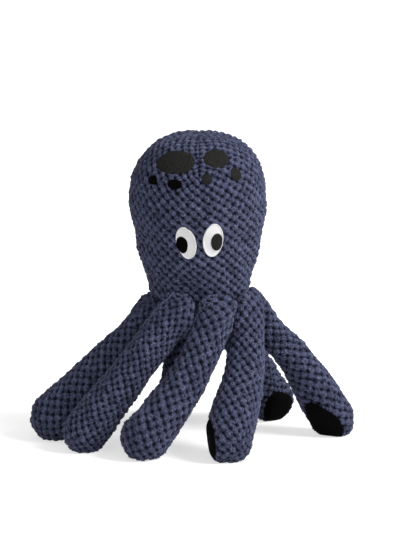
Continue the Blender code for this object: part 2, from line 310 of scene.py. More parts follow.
def colour_steps(nodes, steps):
    """A colour ramp through (place, colour) steps."""
    ramp = nodes.new("ShaderNodeValToRGB")
    ramp.color_ramp.elements[0].position, ramp.color_ramp.elements[1].position = steps[0][0], steps[-1][0]
    for place, _ in steps[1:-1]:
        ramp.color_ramp.elements.new(place)
    for element, (_, colour) in zip(ramp.color_ramp.elements, steps):
        element.color = (*colour, 1.0)
    return ramp


def popcorn_fleece():
    """Slate-blue tufts with a soft, fibrous nap, their colour following the pile's height: painted shade
    darkens the gaps and painted light brightens the tufts' tops.
    """
    made, nodes, links, shader = new_material("popcorn_fleece")
    place = nodes.new("ShaderNodeTexCoord")
    pile = nodes.new("ShaderNodeAttribute")
    pile.attribute_name = "pile"
    tone = nodes.new("ShaderNodeAttribute")
    tone.attribute_name = "tone"
    # Painted shade and light: from near black in the holes and the drawn-in seams, where shade falls, to
    # pale slate on the tuft tops, which catch the light.
    ramp = colour_steps(nodes, (
        (0.14, (0.002, 0.002, 0.006)), (0.42, (0.012, 0.014, 0.033)),
        (0.70, (0.042, 0.048, 0.093)), (1.00, (0.090, 0.100, 0.174)),
    ))
    links.new(pile.outputs["Fac"], ramp.inputs["Fac"])
    fibre = nodes.new("ShaderNodeTexNoise")
    fibre.inputs["Scale"].default_value = 620.0
    fibre.inputs["Detail"].default_value = 1.5
    fibre.inputs["Roughness"].default_value = 0.8
    links.new(place.outputs["Object"], fibre.inputs["Vector"])
    lift = nodes.new("ShaderNodeMath")
    lift.operation = "MULTIPLY_ADD"
    links.new(tone.outputs["Fac"], lift.inputs[0])
    lift.inputs[1].default_value = 0.10
    lift.inputs[2].default_value = -1.13
    shade = nodes.new("ShaderNodeMath")
    shade.operation = "MULTIPLY_ADD"
    links.new(fibre.outputs["Fac"], shade.inputs[0])
    shade.inputs[1].default_value = 4.20
    links.new(lift.outputs["Value"], shade.inputs[2])
    tint = nodes.new("ShaderNodeVectorMath")
    tint.operation = "SCALE"
    links.new(ramp.outputs["Color"], tint.inputs[0])
    links.new(shade.outputs["Value"], tint.inputs["Scale"])
    links.new(tint.outputs["Vector"], shader.inputs["Base Color"])
    bump = nodes.new("ShaderNodeBump")
    bump.inputs["Strength"].default_value = 0.8
    bump.inputs["Distance"].default_value = 0.0009
    links.new(fibre.outputs["Fac"], bump.inputs["Height"])
    links.new(bump.outputs["Normal"], shader.inputs["Normal"])
    shader.inputs["Roughness"].default_value = 0.92
    shader.inputs["Specular IOR Level"].default_value = 0.15
    shader.inputs["Sheen Weight"].default_value = 0.25
    shader.inputs["Sheen Roughness"].default_value = 0.45
    shader.inputs["Sheen Tint"].default_value = (0.62, 0.66, 0.90, 1.0)
    return made


def lumps(points):
    """Broad unevenness of the stuffing, from -1.5 to 1.5."""
    x, y, z = (points * LUMP_RATE).T
    return np.sin(x + 1.1 * np.sin(z)) * np.sin(y + 2.0) + 0.5 * np.sin(1.3 * z + np.sin(x + y))


def stuff(piece, held, seams, pressure, most):
    """Swells a cover by a cloth simulation while its seams draw in, and keeps its mean size.

    The held vertices stay, and no vertex moves further than the most."""
    loose = ~held
    lift = LUMP * lumps(points_of(piece)) * loose
    set_points(piece, points_of(piece) + normals_of(piece) * lift[:, None])
    before, outward = points_of(piece), normals_of(piece)
    for name, chosen in (("held", held), ("seams", seams)):
        piece.vertex_groups.new(name=name).add([int(i) for i in np.nonzero(chosen)[0]], 1.0, "REPLACE")
    cloth = piece.modifiers.new("stuffing", "CLOTH")
    cloth.point_cache.frame_start, cloth.point_cache.frame_end = 1, STUFFING_FRAMES
    cloth.settings.quality = 6
    cloth.settings.mass = 0.2
    cloth.settings.tension_stiffness = cloth.settings.compression_stiffness = 20.0
    cloth.settings.shear_stiffness = 8.0
    cloth.settings.bending_stiffness = 0.6
    cloth.settings.use_pressure = True
    cloth.settings.uniform_pressure_force = pressure
    cloth.settings.vertex_group_mass = "held"
    cloth.settings.vertex_group_shrink = "seams"
    cloth.settings.shrink_min, cloth.settings.shrink_max = 0.0, SEAM_SHRINK
    cloth.settings.effector_weights.gravity = 0.0
    for number in range(1, STUFFING_FRAMES + 1):
        bpy.context.scene.frame_set(number)
    select_only(piece)
    bpy.ops.object.modifier_apply(modifier=cloth.name)
    piece.vertex_groups.clear()
    bpy.context.scene.frame_set(1)
    moved = points_of(piece) - before
    moved -= outward * ((moved * outward).sum(axis=1)[loose].mean() * loose)[:, None]
    length = np.linalg.norm(moved, axis=1)
    set_points(piece, before + moved * (most / np.maximum(length, most))[:, None])


FLEECE = popcorn_fleece()
head_cover = square_bar("head_cover", HEAD_FACES_ACROSS, HEAD_FACES_LONGER)
head_bar = bar_of(head_cover)
set_points(head_cover, head_points(head_bar))
head_from_axis = points_of(head_cover) - np.array((HEAD_AXIS.x, HEAD_AXIS.y, HEAD_BASE))
head_held, head_sides = head_from_axis[:, 2] < NECK_ROLL, np.abs(head_from_axis[:, 1]) < SAME
stuff(head_cover, head_held, head_sides, HEAD_PRESSURE, HEAD_SWELL)


def is_head_seam(edge):
    """Whether an edge lies on a side seam, in the dart or round the base."""
    x, y = ([head_bar[v.index, i] for v in edge.verts] for i in (0, 1))
    at_side = all(abs(value) < SAME for value in y)
    in_dart = all(abs(value) < SAME for value in x) and min(v.co.z for v in edge.verts) > DART_END
    low = all(v.co.z < HEAD_BASE + SAME for v in edge.verts)
    at_base = low and any(face.calc_center_median().z > HEAD_BASE + SAME for face in edge.link_faces)
    return at_side or in_dart or at_base


mark_seams(head_cover, is_head_seam)
add_subdivision(head_cover, COVER_ROUNDING)
head_smooth = points_of(head_cover)
head_normals = normals_of(head_cover)
head_tree = BVHTree.FromPolygons(
    [Vector(point) for point in head_smooth], [face.vertices[:] for face in head_cover.data.polygons]
)
face_middles = np.array([face.center for face in head_cover.data.polygons])
panels = np.where(face_middles[:, 1] < HEAD_AXIS.y, 0, 1)
panels[face_middles[:, 2] < FLAT_BASE] = 2
head_grain = np.where(head_smooth[:, 2] > FLAT_BASE, head_smooth[:, 2], head_smooth[:, 1])
head_height, head_tone = tufts(flat_cloth(head_cover, panels, head_grain), HEAD_BIAS, seed=3)
from_side = np.abs(head_smooth[:, 1] - HEAD_AXIS.y)
from_dart = np.hypot(head_smooth[:, 0] - HEAD_AXIS.x, np.maximum(DART_END - head_smooth[:, 2], 0))
head_seam = smooth_share(np.minimum(from_side, from_dart), 0.0, SEAM_WIDTH)
head_height *= SEAM_HOLD + (1 - SEAM_HOLD) * head_seam
# The eyes and the spots press this pile down, and only then is it laid on the cover.
head_out = pile_lift(head_height, head_smooth)


def finish_fleece(piece, height, tone):
    store(piece, "pile", height)
    store(piece, "tone", tone)
    piece.data.materials.append(FLEECE)
    piece.data.shade_smooth()


finish_fleece(head_cover, head_height, head_tone)
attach(head_cover, "head")
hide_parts("head_front_panel", "head_back_panel")


# Base panel
# A disc of the same fleece, sewn inside the head's rolled rim to close it under the ring of legs.

BASE_RADIUS = 0.0320
BASE_DROP = 0.0010
BASE_RINGS = 56
BASE_POINTS = 192


def ringed_disc(name, points, rings):
    """A flat disc of concentric rings, with each vertex's angle and ring, 0 at the outline."""
    bpy.ops.object.select_all(action="DESELECT")
    bpy.ops.mesh.primitive_circle_add(vertices=points, radius=1.0, fill_type="NGON")
    disc = bpy.context.object
    disc.name = name
    bpy.ops.object.mode_set(mode="EDIT")
    bpy.ops.mesh.select_all(action="SELECT")
    for ring in range(1, rings):
        bpy.ops.mesh.extrude_region_move()
        share = (rings - ring) / (rings - ring + 1)
        bpy.ops.transform.resize(value=(share, share, 1.0))
    bpy.ops.mesh.extrude_region_move()
    bpy.ops.mesh.merge(type="CENTER")
    bpy.ops.mesh.select_all(action="SELECT")
    bpy.ops.mesh.normals_make_consistent(inside=False)
    bpy.ops.object.mode_set(mode="OBJECT")
    flat = points_of(disc)
    reach = np.hypot(flat[:, 0], flat[:, 1])
    return disc, np.arctan2(flat[:, 1], flat[:, 0]), np.round((1 - reach) * rings).astype(int)


base, angle, ring = ringed_disc("base_panel_cloth", BASE_POINTS, BASE_RINGS)
reach = BASE_RADIUS * (1 - ring / BASE_RINGS)
flat = np.c_[reach * np.cos(angle), reach * np.sin(angle)]
height, tone = tufts(flat, HEAD_BIAS, seed=5)
height *= smooth_share(BASE_RADIUS - reach, 0.0, SEAM_WIDTH)
drop = PILE * (height - PILE_BURIED) + BASE_DROP
set_points(base, np.c_[flat + np.array(HEAD_AXIS)[:2], HEAD_BASE - drop])
select_only(base)
bpy.ops.object.mode_set(mode="EDIT")
bpy.ops.mesh.select_all(action="SELECT")
bpy.ops.mesh.flip_normals()
bpy.ops.object.mode_set(mode="OBJECT")
finish_fleece(base, height, tone)
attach(base, "head")
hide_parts("base_panel")


# Head stuffing
# One body of white fibre fill, packed firm inside the head's cover.

FILL_INSET = 0.0042


def fibre_fill():
    made, nodes, links, shader = new_material("fibre_fill")
    place = nodes.new("ShaderNodeTexCoord")
    wisps = nodes.new("ShaderNodeTexNoise")
    wisps.inputs["Scale"].default_value = 420.0
    wisps.inputs["Detail"].default_value = 5.0
    links.new(place.outputs["Object"], wisps.inputs["Vector"])
    ramp = colour_steps(nodes, ((0.3, (0.62, 0.62, 0.60)), (0.7, (0.86, 0.86, 0.85))))
    links.new(wisps.outputs["Fac"], ramp.inputs["Fac"])
    links.new(ramp.outputs["Color"], shader.inputs["Base Color"])
    bump = nodes.new("ShaderNodeBump")
    bump.inputs["Strength"].default_value = 0.6
    bump.inputs["Distance"].default_value = 0.0008
    links.new(wisps.outputs["Fac"], bump.inputs["Height"])
    links.new(bump.outputs["Normal"], shader.inputs["Normal"])
    shader.inputs["Roughness"].default_value = 1.0
    shader.inputs["Sheen Weight"].default_value = 0.4
    return made


FIBRE_FILL = fibre_fill()


def finish_fill(piece):
    piece.data.materials.append(FIBRE_FILL)
    piece.data.shade_smooth()


head_fill = square_bar("head_fill", HEAD_FACES_ACROSS, HEAD_FACES_LONGER)
set_points(head_fill, head_points(bar_of(head_fill)))
add_subdivision(head_fill, 1)
set_points(head_fill, points_of(head_fill) - normals_of(head_fill) * FILL_INSET)
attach(head_fill, "head")
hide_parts("head_stuffing")
finish_fill(head_fill)


# Eyes
# Two ovals of white felt laid on the face, each held by a satin-stitched rim, with a pupil stitched
# in black thread over it. The pile is pressed flat under them.

EYE_SIZE = 0.0298
PUPIL_SIZE = 0.0158
# Of each eye's white and of its pupil: degrees right of the face, the share of the head's height, the
# width and height as shares of the size, and the lean in degrees
EYES = {
    "left": ((-11.5, 0.408, 0.57, 0.97, -12.0), (-15.2, 0.394, 0.62, 0.98, -10.0)),
    "right": ((12.2, 0.423, 0.57, 1.00, 3.0), (15.2, 0.414, 0.61, 0.98, 0.0)),
}
# Distance in from the outline and lift off the cloth, from the rim inwards
WHITE_STEPS = ((0.0, -0.0006), (0.0, 0.0008), (0.0002, 0.0011), (0.0010, 0.0012))
PUPIL_STEPS = ((0.0, 0.0009), (0.0, 0.0016), (0.0003, 0.0020), (0.0012, 0.0022))
INNER_RING_SHARES = (0.25, 0.5, 0.75)
OVAL_POINTS = 96
PILE_UNDER_EYE = 0.0002
PRESSED_SHARES = (0.93, 1.05)
RIM_WIDTH = 0.0012
RIM_RISE = 0.0006
RIM_LIFT = 0.0012
RIM_STITCHES = 170
RIM_DIP = 0.16
RIM_SECTION = 0.25
# The scale of a wave texture whose bands lie a unit apart
BAND_SCALE = 0.314


def oval_frame(place):
    """Middle of an oval on the smooth head, and its ways right, up and out."""
    right_of_face, height_share, _, _, lean = place
    turn = Matrix.Rotation(math.radians(right_of_face), 3, "Z")
    level = HEAD_BASE + height_share * HEAD_HEIGHT
    inside = Vector((HEAD_AXIS.x, HEAD_AXIS.y, level))
    point, out, _, _ = head_tree.ray_cast(inside, turn @ Vector((0.0, -1.0, 0.0)))
    if out.dot(point - inside) < 0:
        out = -out
    right = Vector((0.0, 0.0, 1.0)).cross(out).normalized()
    up = out.cross(right)
    tilt = Matrix.Rotation(math.radians(-lean), 3, out)
    return point, tilt @ right, tilt @ up, out


def on_head(frame_of_oval, across, upward, lift):
    """Points over the smooth head for places in an oval's plane, each lifted off the cloth."""
    point, right, up, out = frame_of_oval
    found = []
    for x, y, z in zip(across, upward, lift):
        start = point + right * x + up * y + out * HEAD_RADIUS / 2
        hit, normal, _, _ = head_tree.ray_cast(start, -out)
        if normal.dot(out) < 0:
            normal = -normal
        found.append(hit + normal * z)
    return np.array(found)


def oval_disc(name, place, size, steps, wave=0.0):
    """A closed oval patch, shaped at its rim by the steps and flat inside them."""
    half = np.array((place[2], place[3])) * size / 2
    last, height = steps[-1]
    profile = [*steps, *((last + (min(half) - last) * share, height) for share in INNER_RING_SHARES)]
    disc, angle, ring = ringed_disc(name, OVAL_POINTS, len(profile))
    table = np.array([*profile, profile[-1]])
    inset, lift = table[ring, 0], table[ring, 1]
    edge = 1 + wave * (np.sin(9 * angle + 1) + np.sin(14 * angle + 2) + np.sin(23 * angle))
    middle = ring == len(profile)
    across = np.cos(angle) * (half[0] * edge - inset) * ~middle
    upward = np.sin(angle) * (half[1] * edge - inset) * ~middle
    set_points(disc, on_head(oval_frame(place), across, upward, lift))
    store(disc, "thread", np.c_[across, upward, np.zeros(len(across))])
    disc.data.shade_smooth()
    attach(disc, "head")
    return disc


def stitched_rim(name, place, size):
    """A ring of satin stitches over an oval's outline, every second one a little lower."""
    half = np.array((place[2], place[3])) * size / 2 - RIM_WIDTH / 2
    bpy.ops.object.select_all(action="DESELECT")
    bpy.ops.mesh.primitive_torus_add(
        major_segments=2 * RIM_STITCHES, minor_segments=8, major_radius=1.0, minor_radius=RIM_SECTION
    )
    rim = bpy.context.object
    rim.name = name
    ring = points_of(rim)
    angle = np.arctan2(ring[:, 1], ring[:, 0])
    section = np.c_[np.hypot(ring[:, 0], ring[:, 1]) - 1.0, ring[:, 2]] / RIM_SECTION
    stitch = np.round(angle / (2 * math.pi) * 2 * RIM_STITCHES).astype(int) % 2
    section = section * np.array((RIM_WIDTH / 2, RIM_RISE)) * (1 - RIM_DIP * stitch)[:, None]
    across = np.cos(angle) * (half[0] + section[:, 0])
    upward = np.sin(angle) * (half[1] + section[:, 0])
    set_points(rim, on_head(oval_frame(place), across, upward, section[:, 1] + RIM_LIFT))
    store(rim, "thread", np.c_[across, upward, section[:, 1]])
    rim.data.shade_smooth()
    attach(rim, "head")
    return rim


def press_pile(place, size, most):
    """Holds the head's pile down to the most that it may stand under an oval."""
    point, right, up, out = (np.array(value) for value in oval_frame(place))
    away = head_smooth - point
    half = np.array((place[2], place[3])) * size / 2
    reach = np.hypot(away @ right / half[0], away @ up / half[1])
    held = (1 - smooth_share(reach, *PRESSED_SHARES)) * (away @ out > -HEAD_RADIUS / 3)
    head_out[:] = head_out * (1 - held) + np.minimum(head_out, most) * held


def stitched(name, colour, roughness, sheen, gap, depth,
             shine=0.25, fuzz_scale=1800.0, fuzz_share=0.5, groove_shade=0.78, ridge_highlight=1.12):
    """Thread or felt: fine parallel ridges, so far apart and so deep, with fuzz over them.

    Groove shade and ridge highlight scale the colour where the bands are low and high: painted shade in the
    grooves and a painted highlight on the ridges, mixed with the fuzz's random tone."""
    made, nodes, links, shader = new_material(name)
    place = nodes.new("ShaderNodeAttribute")
    place.attribute_name = "thread"
    wave = nodes.new("ShaderNodeTexWave")
    wave.inputs["Scale"].default_value = BAND_SCALE / gap
    wave.inputs["Distortion"].default_value = 1.2
    wave.inputs["Detail"].default_value = 2.0
    wave.inputs["Detail Scale"].default_value = 1.5
    links.new(place.outputs["Vector"], wave.inputs["Vector"])
    nap = nodes.new("ShaderNodeTexNoise")
    nap.inputs["Scale"].default_value = fuzz_scale
    nap.inputs["Detail"].default_value = 3.0
    links.new(place.outputs["Vector"], nap.inputs["Vector"])
    both = nodes.new("ShaderNodeMix")
    both.data_type = "FLOAT"
    both.inputs["Factor"].default_value = fuzz_share
    links.new(wave.outputs["Fac"], both.inputs["A"])
    links.new(nap.outputs["Fac"], both.inputs["B"])
    # Painted shade in the grooves and a painted highlight on the ridges, following the bump's bands.
    painted_groove_shade = tuple(part * groove_shade for part in colour)
    ridge = tuple(min(part * ridge_highlight, 1.0) for part in colour)
    ramp = colour_steps(nodes, ((0.2, painted_groove_shade), (0.8, ridge)))
    links.new(both.outputs["Result"], ramp.inputs["Fac"])
    links.new(ramp.outputs["Color"], shader.inputs["Base Color"])
    bump = nodes.new("ShaderNodeBump")
    bump.inputs["Strength"].default_value = 0.7
    bump.inputs["Distance"].default_value = depth
    links.new(both.outputs["Result"], bump.inputs["Height"])
    links.new(bump.outputs["Normal"], shader.inputs["Normal"])
    shader.inputs["Roughness"].default_value = roughness
    shader.inputs["Specular IOR Level"].default_value = shine
    shader.inputs["Sheen Weight"].default_value = sheen
    return made


WHITE_FELT = stitched("white_felt", (0.97, 0.96, 0.99), 0.9, 0.3, gap=0.0009, depth=0.0002)
WHITE_THREAD = stitched("white_thread", (0.90, 0.90, 0.92), 0.6, 0.1, gap=0.0005, depth=0.0002)
# The left pupil and the two left spots face away from the key light and take this black. The other spots
# and the right pupil take the grey copy below: lit and shaded copies of one black, the grey being painted
# sheen.
BLACK_THREAD = stitched(
    "black_thread", (0.002, 0.002, 0.002), 0.9, 0.0, gap=0.0005, depth=0.0002, shine=0.02
)
# Painted sheen: the black pile given a grey colour, for the pieces that face the key light.
SPOT_PILE_PAINTED_SHEEN = stitched(
    "spot_pile_painted_sheen", (0.0185, 0.0185, 0.018), 0.95, 0.0, gap=0.0016, depth=0.0008,
    shine=0.1, fuzz_scale=650.0, fuzz_share=0.85, groove_shade=0.0, ridge_highlight=2.0
)

for side, (eye, pupil) in EYES.items():
    press_pile(eye, EYE_SIZE, PILE_UNDER_EYE)
    white = oval_disc(f"{side}_eye_white", eye, EYE_SIZE, WHITE_STEPS)
    white.data.materials.append(WHITE_FELT)
    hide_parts(f"{side}_eye_white")

    rim = stitched_rim(f"{side}_eye_rim", eye, EYE_SIZE)
    rim.data.materials.append(WHITE_THREAD)

    black = oval_disc(f"{side}_pupil", pupil, PUPIL_SIZE, PUPIL_STEPS)
    # The right pupil takes the grey copy with painted sheen, and the left one stays black.
    black.data.materials.append(BLACK_THREAD if side == "left" else SPOT_PILE_PAINTED_SHEEN)
    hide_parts(f"{side}_pupil")


# Spots
# Six ovals of short black pile on the upper head, two large and four small. Each is stitched down into
# the fleece, so the tufts round it stand a little higher than the spot and ruffle its outline.

SPOT_SIZE = 0.0355
# The same columns as the eyes have
SPOTS = {
    "spot_crown_left": (-26.4, 0.887, 0.99, 0.66, 0.0),
    "spot_crown_right": (19.6, 0.906, 0.64, 0.54, -8.0),
    "spot_side_left": (-44.8, 0.771, 0.29, 0.23, 0.0),
    "spot_brow_left": (-21.8, 0.760, 0.37, 0.25, 0.0),
    "spot_brow_right": (7.1, 0.797, 0.25, 0.28, -30.0),
    "spot_side_right": (36.4, 0.811, 0.30, 0.33, -20.0),
}
# The two spots that face away from the key light stay black; the others take the grey copy with painted
# sheen.
SPOTS_WITHOUT_PAINTED_SHEEN = ("spot_side_left", "spot_brow_left")
SPOT_STEPS = ((-0.0004, -0.0010), (0.0002, 0.0003), (0.0008, 0.0006))
PILE_UNDER_SPOT = -0.0004
LARGE_SHARE = 0.5
LARGE_RUFFLE, SMALL_RUFFLE = 0.016, 0.035

for name, place in SPOTS.items():
    press_pile(place, SPOT_SIZE, PILE_UNDER_SPOT)
    ruffle = LARGE_RUFFLE if place[2] > LARGE_SHARE else SMALL_RUFFLE
    spot = oval_disc(name, place, SPOT_SIZE, SPOT_STEPS, wave=ruffle)
    spot.data.materials.append(BLACK_THREAD if name in SPOTS_WITHOUT_PAINTED_SHEEN else SPOT_PILE_PAINTED_SHEEN)
    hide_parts(name)
set_points(head_cover, head_smooth + head_normals * head_out[:, None])


# Leg covers
# Eight tubes of the same fleece, each sewn from an upper and an under panel and stuffed: narrow at the
# root, which is sewn under the head's rolled rim, and swelling to a round foot with a flat cut sole.

# The leg's form and its ring of roots, as the solids have them
LEG_COUNT = 8
ROOT_RADIUS = 0.0138
FOOT_RADIUS = 0.0200
SWELL_POWER = 2.4
ROOT_SPACING = 0.0023
ROOT_SEATING = 0.0005
SEAM_GAP = 0.0003
SOLE_DEPTH = 0.0065
SOLE_CROWN = 0.0030
FOOT_SQUASH = 0.0005
STANCE_RADIUS = 0.1050
FIRST_ROOT_ANGLE = math.radians(192)
RING_RADIUS = (ROOT_RADIUS + ROOT_SPACING) / math.sin(math.pi / LEG_COUNT)
ROOT_HEIGHT = HEAD_BASE + NECK_ROLL - math.sqrt(
    (NECK_ROLL + SEAM_GAP + ROOT_RADIUS) ** 2 - (RING_RADIUS - NECK_RADIUS + NECK_ROLL) ** 2
) + ROOT_SEATING

# One row a leg in each table, from the leg at the left of the face and clockwise as seen from above.
# How it lies: the way to its foot in degrees, the foot's distance as a share of the stance, the slope at
# the root in degrees, how far that slope holds, the foot's size as a share, and the turn of its sole from
# the under side and the sole's tilt from the leg's way, in degrees
LEG_LIE = (
    (178.0, 1.155, 62.0, 0.17, 1.055, 60.0, 72.0),
    (140.5, 1.02, 52.0, 0.40, 1.0, 45.0, 72.0),
    (102.4, 0.84, 68.0, 0.40, 0.9, 30.0, 72.0),
    (51.0, 0.94, 67.0, 0.37, 0.91, 68.0, 73.0),
    (8.0, 1.087, 44.0, 0.54, 0.89, 57.0, 72.0),
    (-73.4, 0.80, 58.5, 0.31, 0.99, 117.0, 62.0),
    (-121.8, 0.815, 66.5, 0.28, 0.975, 65.0, 72.0),
    (-156.1, 1.0, 26.0, 0.20, 0.94, 60.0, 72.0),
)
# How it is stuffed, in metres: the rise and the lean of its shoulder, how much fuller it is towards the
# foot, and how far its cloth is drawn in on top near the root and on the under side at the middle
LEG_STUFFING = (
    (-0.006, 0.0, 0.0014, 0.0020, 0.0),
    (-0.003, 0.0, 0.0008, 0.0, 0.0),
    (0.003, 0.0, 0.0, 0.0, 0.0),
    (0.004, 0.0, 0.0, 0.0, 0.0),
    (0.004, 0.0, 0.0020, 0.0034, 0.0030),
    (0.009, 0.0010, 0.0018, 0.0, 0.0),
    (0.011, 0.0066, 0.0016, 0.0, 0.0),
    (0.012, 0.0120, 0.0004, 0.0, 0.0),
)
# Its cloth: the bias in degrees, how far it is stretched, and how far its seams are turned round the leg
LEG_CLOTH = (
    (43.0, 1.03, 80.0),
    (45.0, 1.03, 0.0),
    (45.0, 1.03, 0.0),
    (45.0, 1.0, 0.0),
    (45.0, 1.08, -80.0),
    (40.0, 1.04, 0.0),
    (50.0, 1.12, 50.0),
    (54.0, 0.93, 72.0),
)

# Where along the leg, as shares of the way to the foot, the stuffing does this, and how far it spreads
SHOULDER_SHARE = 0.15
LEAN_SHARE = 0.13
FULL_SHARE, FULL_SPREAD_SHARE = 0.80, 0.30
TOP_TUCK_SHARE, TOP_TUCK_SPREAD_SHARE = 0.24, 0.13
UNDER_TUCK_SHARE, UNDER_TUCK_SPREAD_SHARE = 0.50, 0.22
FOOT_SHARE = 0.6
# The shoulder is squarer and wider than the leg, from where it comes out from under the head's rim.
SHOULDER_SQUARE = 4.0
SHOULDER_WIDER = 0.20
SHOULDER_TOP_POWER = 0.12
CORNER_LEAST = 0.2
PAST_RIM = (-0.0015, 0.0055)
FOOT_FLAT = 0.0075
FOOT_FLAT_POWER = 0.5

LEG_FACES_ACROSS = 8
LEG_FACES_LONGER = 29
LEG_PRESSURE = 2.0
LEG_SWELL = 0.0012
HELD_SHARE = 0.25
HELD_ROUND_SOLE = 0.0030

# The pile is pressed down at the shoulder, and keeps off the head, the sole and the floor.
SHOULDER_PRESSED = 0.0006
NEAR_HEAD_SHARE = 0.3
NEAR_HEAD = 0.012
HEAD_CLEARANCE = 0.0012
BEHIND_SOLE = 0.0006
OFF_FLOOR = 0.0001
SEAM_RIDGE = 0.92
SEAM_RIDGE_WIDTH = 0.0009
# Two legs' seams are pulled proud of the pile towards the root, and a painted highlight raises their tone
# into a thin pale line.
PROUD_HIGHLIGHTED_SEAMS = ("leg_6", "leg_8")
PROUD_RIDGE = 1.20
PAINTED_SEAM_HIGHLIGHT = 4.0
FILL_BEHIND_SOLE = 0.0020
FILL_OFF_FLOOR = 0.0030


def unit(vectors):
    return vectors / np.linalg.norm(vectors, axis=-1, keepdims=True)


def along_leg(bar):
    """Shares of the way to the foot, and directions round the leg, for places on its bar."""
    lowest = bar[:, 2].min() + 1
    level = np.clip(bar[:, 2], lowest, 0)
    return 1 - level / lowest, round_directions(np.c_[bar[:, :2], bar[:, 2] - level])


class Leg:
    """The middle line of one leg, and its stuffed surface round that line."""

    def __init__(self, number, drop=0.0):
        foot_angle, stance, slope, hold, foot_share, sole_turn, sole_tilt = LEG_LIE[number]
        self.rise, self.lean, self.fuller, self.top_tuck, self.under_tuck = LEG_STUFFING[number]
        self.bias, self.stretch, seam_turn = LEG_CLOTH[number]
        self.seam_turn = math.radians(seam_turn)
        self.foot_radius = FOOT_RADIUS * foot_share
        root_angle = FIRST_ROOT_ANGLE - number * 2 * math.pi / LEG_COUNT
        self.out = out = np.array((math.cos(root_angle), math.sin(root_angle), 0.0))
        axis = np.array((HEAD_AXIS.x, HEAD_AXIS.y, 0.0))
        self.root = axis + out * RING_RADIUS + np.array((0.0, 0.0, ROOT_HEIGHT))
        way, reach = math.radians(foot_angle), STANCE_RADIUS * stance
        self.foot = axis + np.array((reach * math.cos(way), reach * math.sin(way), self.foot_radius))
        slope = math.radians(slope)
        self.leaving = out * math.cos(slope) - np.array((0.0, 0.0, math.sin(slope)))
        self.bend = self.root + self.leaving * hold * np.linalg.norm(self.foot - self.root)
        self.foot[2] -= drop
        middle, along, _, upper = (Vector(part[0]) for part in self.frames(np.ones(1)))
        under = Matrix.Rotation(-math.radians(sole_turn), 3, along) @ -upper
        tilt = math.radians(sole_tilt)
        self.sole_out = np.array(along * math.cos(tilt) + under * math.sin(tilt))
        self.sole_middle = np.array(middle) + self.sole_out * (self.foot_radius - SOLE_DEPTH)

    def frames(self, share):
        """The middle line's points, and its ways along, right and up there."""
        share = share[:, None]
        back = 1 - share
        middle = back**2 * self.root + 2 * back * share * self.bend + share**2 * self.foot
        along = unit(back * (self.bend - self.root) + share * (self.foot - self.bend))
        right = unit(np.cross(along, (0.0, 0.0, 1.0)))
        return middle, along, right, np.cross(right, along)

    def points(self, bar):
        """Places on the smooth cover for places on its bar."""
        share, direction = along_leg(bar)
        middle, along, right, upper = self.frames(share)
        radius = ROOT_RADIUS + (self.foot_radius - ROOT_RADIUS) * share**SWELL_POWER
        radius += self.fuller * hump(share, FULL_SHARE, FULL_SPREAD_SHARE)
        x, y, z = (direction * radius[:, None]).T[..., None]
        cosine, sine = math.cos(self.seam_turn), math.sin(self.seam_turn)
        to_right, to_top = x * cosine + y * sine, y * cosine - x * sine

        from_middle = to_top * upper + z * along - to_right * right
        past_rim = smooth_share((middle + from_middle - self.root) @ self.out, *PAST_RIM)
        sewn = hump(share, 0.0, SHOULDER_SHARE) * past_rim
        power = (2 + SHOULDER_SQUARE * sewn)[:, None]
        around = np.hypot(to_right, to_top) + TINY
        corner = np.abs(to_right / around) ** power + np.abs(to_top / around) ** power
        corner = corner.clip(CORNER_LEAST) ** (-1 / power)
        to_right = to_right * corner * (1 + SHOULDER_WIDER * sewn)[:, None]
        to_top = to_top * corner

        above = np.clip(to_top[:, 0] / radius, -1, 1)
        tuck = self.under_tuck * hump(share, UNDER_TUCK_SHARE, UNDER_TUCK_SPREAD_SHARE)
        tuck *= np.maximum(-above, 0)
        top_tuck = self.top_tuck * hump(share, TOP_TUCK_SHARE, TOP_TUCK_SPREAD_SHARE)
        to_top = to_top + (tuck - top_tuck * np.maximum(above, 0))[:, None]

        from_middle = to_top * upper + z * along - to_right * right
        points = middle + from_middle
        points[:, 2] += self.rise * sewn * np.clip(from_middle[:, 2] / radius, 0, 1) ** SHOULDER_TOP_POWER
        sideways = np.cross((0.0, 0.0, 1.0), self.out)
        points += np.outer(self.lean * hump(share, 0.0, LEAN_SHARE) * past_rim, sideways)
        low = (share > FOOT_SHARE) & (points[:, 2] < FOOT_FLAT)
        points[low, 2] *= (np.maximum(points[low, 2], 0) / FOOT_FLAT) ** FOOT_FLAT_POWER
        return points

    def past_sole(self, points):
        """How far places lie out past the cut of the sole."""
        return (points - self.sole_middle) @ self.sole_out


leg_parts = []
for number in range(LEG_COUNT):
    name = f"leg_{number + 1}"
    cover = square_bar(f"{name}_cover", LEG_FACES_ACROSS, LEG_FACES_LONGER)
    bar = bar_of(cover)
    # The leg is lowered until what the sole leaves of its foot stands on the floor.
    leg = Leg(number)
    points = leg.points(bar)
    kept = leg.past_sole(points) < SOLE_CROWN
    leg = Leg(number, points[kept, 2].min() + FOOT_SQUASH)
    points = leg.points(bar)
    set_points(cover, points)
    held = (along_leg(bar)[0] < HELD_SHARE) | (leg.past_sole(points) > -HELD_ROUND_SOLE)
    on_seam = np.abs(bar[:, 1]) < SAME
    stuff(cover, held, on_seam, LEG_PRESSURE, LEG_SWELL)
    mark_seams(cover, lambda edge: all(on_seam[v.index] for v in edge.verts))
    add_subdivision(cover, COVER_ROUNDING)
    leg_parts.append((name, leg, cover))


